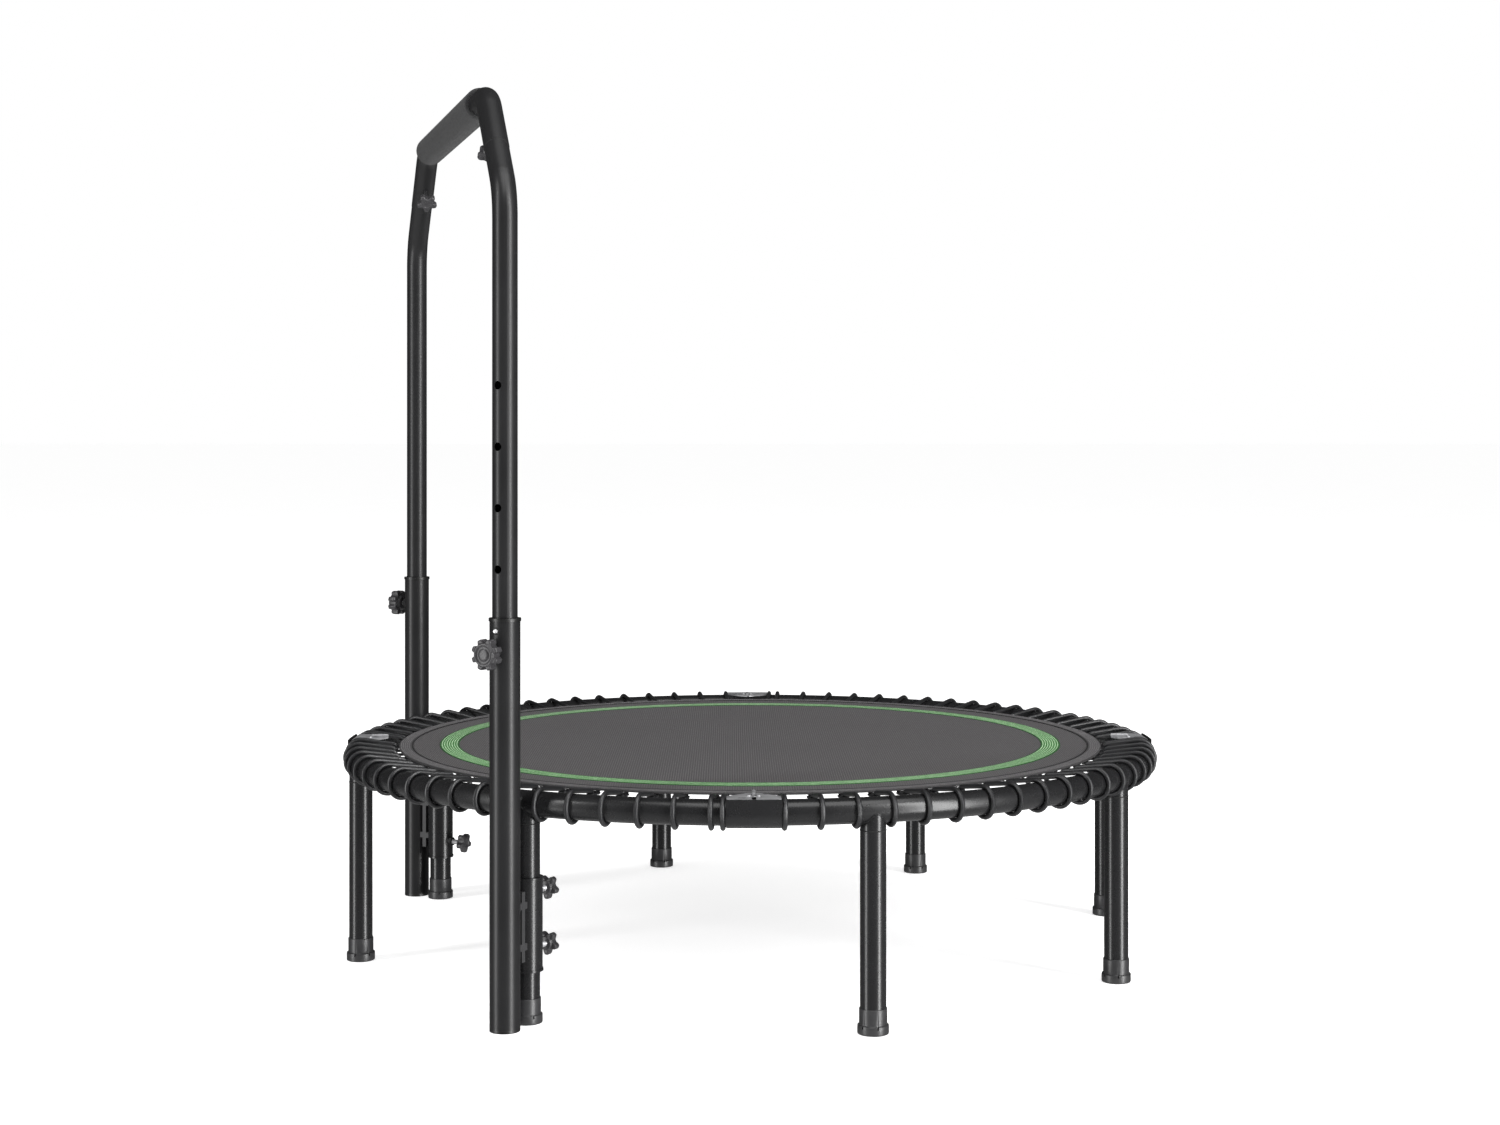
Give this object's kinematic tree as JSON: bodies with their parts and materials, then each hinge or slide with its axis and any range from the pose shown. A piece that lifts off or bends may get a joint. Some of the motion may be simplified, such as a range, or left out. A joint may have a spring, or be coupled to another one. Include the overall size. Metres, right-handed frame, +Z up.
{
  "type": "mini trampoline",
  "caption": "Round mini trampoline on short legs: a mesh bed hung from a tube ring by elastic cords, a frame that folds in half, and a U-shaped safety handle with adjustable height.",
  "frame": {"origin": "on the floor, under the middle of the ring", "axes": "+Z up, normal to the mat; -Y is the front; the fold line runs along Y, and the handle stands on the -X side"},
  "size_m": [1.2304, 1.2304, 1.2484],
  "materials": {
    "frame_steel": "satin charcoal powder coat",
    "handle_steel": "satin near-black powder coat",
    "foot_rubber": "matte dark grey rubber",
    "zinc": "bright zinc plate",
    "mesh_fabric": "close woven polypropylene mesh",
    "hem_webbing": "dark webbing with pale stitch rows",
    "green_webbing": "green webbing with pale stitch rows",
    "ring_steel": "black coated wire",
    "elastic_cord": "braided black sleeve over rubber",
    "black_plastic": "moulded nylon",
    "knob_plastic": "moulded satin plastic",
    "grip_foam": "fine closed-cell foam"
  },
  "bodies": {
    "left_frame": {"ring_tube_back_left": "frame_steel", "ring_tube_front_left": "frame_steel", "leg_stubs_left": "frame_steel", "leg_back_left": "frame_steel", "leg_left_back": "frame_steel", "leg_left_front": "frame_steel", "leg_front_left": "frame_steel", "feet_left": "foot_rubber", "hinge_bracket_front": "frame_steel", "hinge_bracket_back": "frame_steel", "hinge_bracket_left": "frame_steel", "hinge_leaves_left": "zinc", "hinge_pins_left": "zinc", "bungees_back_left": "elastic_cord", "bungees_front_left": "elastic_cord", "lower_pole_front": "frame_steel", "lower_pole_back": "frame_steel", "pole_collars": "black_plastic", "pole_end_caps": "black_plastic", "leg_clamp_front": "frame_steel", "leg_clamp_back": "frame_steel", "clamp_bracket_front": "frame_steel", "clamp_bracket_back": "frame_steel"},
    "mat_left": {"mat_bed_left": "mesh_fabric", "mat_hem_left": "hem_webbing", "green_band_left": "green_webbing", "mat_rings_left": "ring_steel"},
    "mat_right": {"mat_bed_right": "mesh_fabric", "mat_hem_right": "hem_webbing", "green_band_right": "green_webbing", "mat_rings_right": "ring_steel"},
    "right_frame": {"ring_tube_front_right": "frame_steel", "ring_tube_back_right": "frame_steel", "leg_stubs_right": "frame_steel", "leg_front_right": "frame_steel", "leg_right_front": "frame_steel", "leg_right_back": "frame_steel", "leg_back_right": "frame_steel", "feet_right": "foot_rubber", "hinge_bracket_right": "frame_steel", "hinge_leaves_right": "zinc", "hinge_pins_right": "zinc", "bungees_front_right": "elastic_cord", "bungees_back_right": "elastic_cord"},
    "handle": {"upper_pole_front": "handle_steel", "upper_pole_back": "handle_steel", "pole_plugs": "black_plastic", "top_bar": "handle_steel", "foam_grip": "grip_foam"},
    "height_knob_front": {"height_knob_front": "knob_plastic"},
    "height_knob_back": {"height_knob_back": "knob_plastic"},
    "clamp_knob_front_upper": {"clamp_knob_front_upper": "knob_plastic"},
    "clamp_knob_front_lower": {"clamp_knob_front_lower": "knob_plastic"},
    "clamp_knob_back_upper": {"clamp_knob_back_upper": "knob_plastic"},
    "clamp_knob_back_lower": {"clamp_knob_back_lower": "knob_plastic"},
    "bar_knob_front": {"bar_knob_front": "knob_plastic"},
    "bar_knob_back": {"bar_knob_back": "knob_plastic"},
    "snap_button_front": {"snap_button_front": "zinc"},
    "snap_button_back": {"snap_button_back": "zinc"}
  },
  "joints": [
    {"name": "mat_bounce", "type": "slide", "parent": "left_frame", "child": "mat_left", "axis": [0, 0, 1], "range_m": [-0.05, 0], "stiffness_N_per_m": 8000, "springref_m": 0.004, "deforming": ["bungees_front_right", "bungees_back_right", "bungees_back_left", "bungees_front_left"]},
    {"name": "frame_fold", "type": "hinge", "parent": "mat_left", "child": "mat_right", "pos_m": [0, 0, 0.3082], "axis": [0, -1, 0], "range_deg": [0, 175]},
    {"name": "right_half_bounce", "type": "slide", "parent": "mat_right", "child": "right_frame", "axis": [0, 0, 1], "range_m": [0, 0.05]},
    {"name": "handle_height", "type": "slide", "parent": "left_frame", "child": "handle", "axis": [0, 0, 1], "range_m": [-0.316, 0]},
    {"name": "height_knob_front_turn", "type": "hinge", "parent": "left_frame", "child": "height_knob_front", "pos_m": [-0.32125, -0.55642, 0.4885], "axis": [-0.5, -0.866, 0], "continuous": true},
    {"name": "clamp_knob_front_upper_turn", "type": "hinge", "parent": "left_frame", "child": "clamp_knob_front_upper", "pos_m": [-0.2965, -0.51355, 0.169], "axis": [0.5, 0.866, 0], "continuous": true},
    {"name": "clamp_knob_front_lower_turn", "type": "hinge", "parent": "left_frame", "child": "clamp_knob_front_lower", "pos_m": [-0.2965, -0.51355, 0.095], "axis": [0.5, 0.866, 0], "continuous": true},
    {"name": "height_knob_back_turn", "type": "hinge", "parent": "left_frame", "child": "height_knob_back", "pos_m": [-0.55642, 0.32125, 0.4885], "axis": [-0.866, 0.5, 0], "continuous": true},
    {"name": "clamp_knob_back_upper_turn", "type": "hinge", "parent": "left_frame", "child": "clamp_knob_back_upper", "pos_m": [-0.51355, 0.2965, 0.169], "axis": [0.866, -0.5, 0], "continuous": true},
    {"name": "clamp_knob_back_lower_turn", "type": "hinge", "parent": "left_frame", "child": "clamp_knob_back_lower", "pos_m": [-0.51355, 0.2965, 0.095], "axis": [0.866, -0.5, 0], "continuous": true},
    {"name": "bar_knob_front_turn", "type": "hinge", "parent": "handle", "child": "bar_knob_front", "pos_m": [-0.3467, -0.46146, 1.18], "axis": [-0.183, 0.683, -0.7071], "continuous": true},
    {"name": "bar_knob_back_turn", "type": "hinge", "parent": "handle", "child": "bar_knob_back", "pos_m": [-0.53097, 0.22628, 1.18], "axis": [0.183, -0.683, -0.7071], "continuous": true},
    {"name": "snap_button_front_press", "type": "slide", "parent": "left_frame", "child": "snap_button_front", "axis": [0.5, 0.866, 0], "range_m": [0, 0.003], "stiffness_N_per_m": 500, "springref_m": -0.001},
    {"name": "snap_button_back_press", "type": "slide", "parent": "left_frame", "child": "snap_button_back", "axis": [0.866, -0.5, 0], "range_m": [0, 0.003], "stiffness_N_per_m": 500, "springref_m": -0.001}
  ],
  "couplings": [
    {"joint": "right_half_bounce", "follows": "mat_bounce", "ratio": -1}
  ]
}
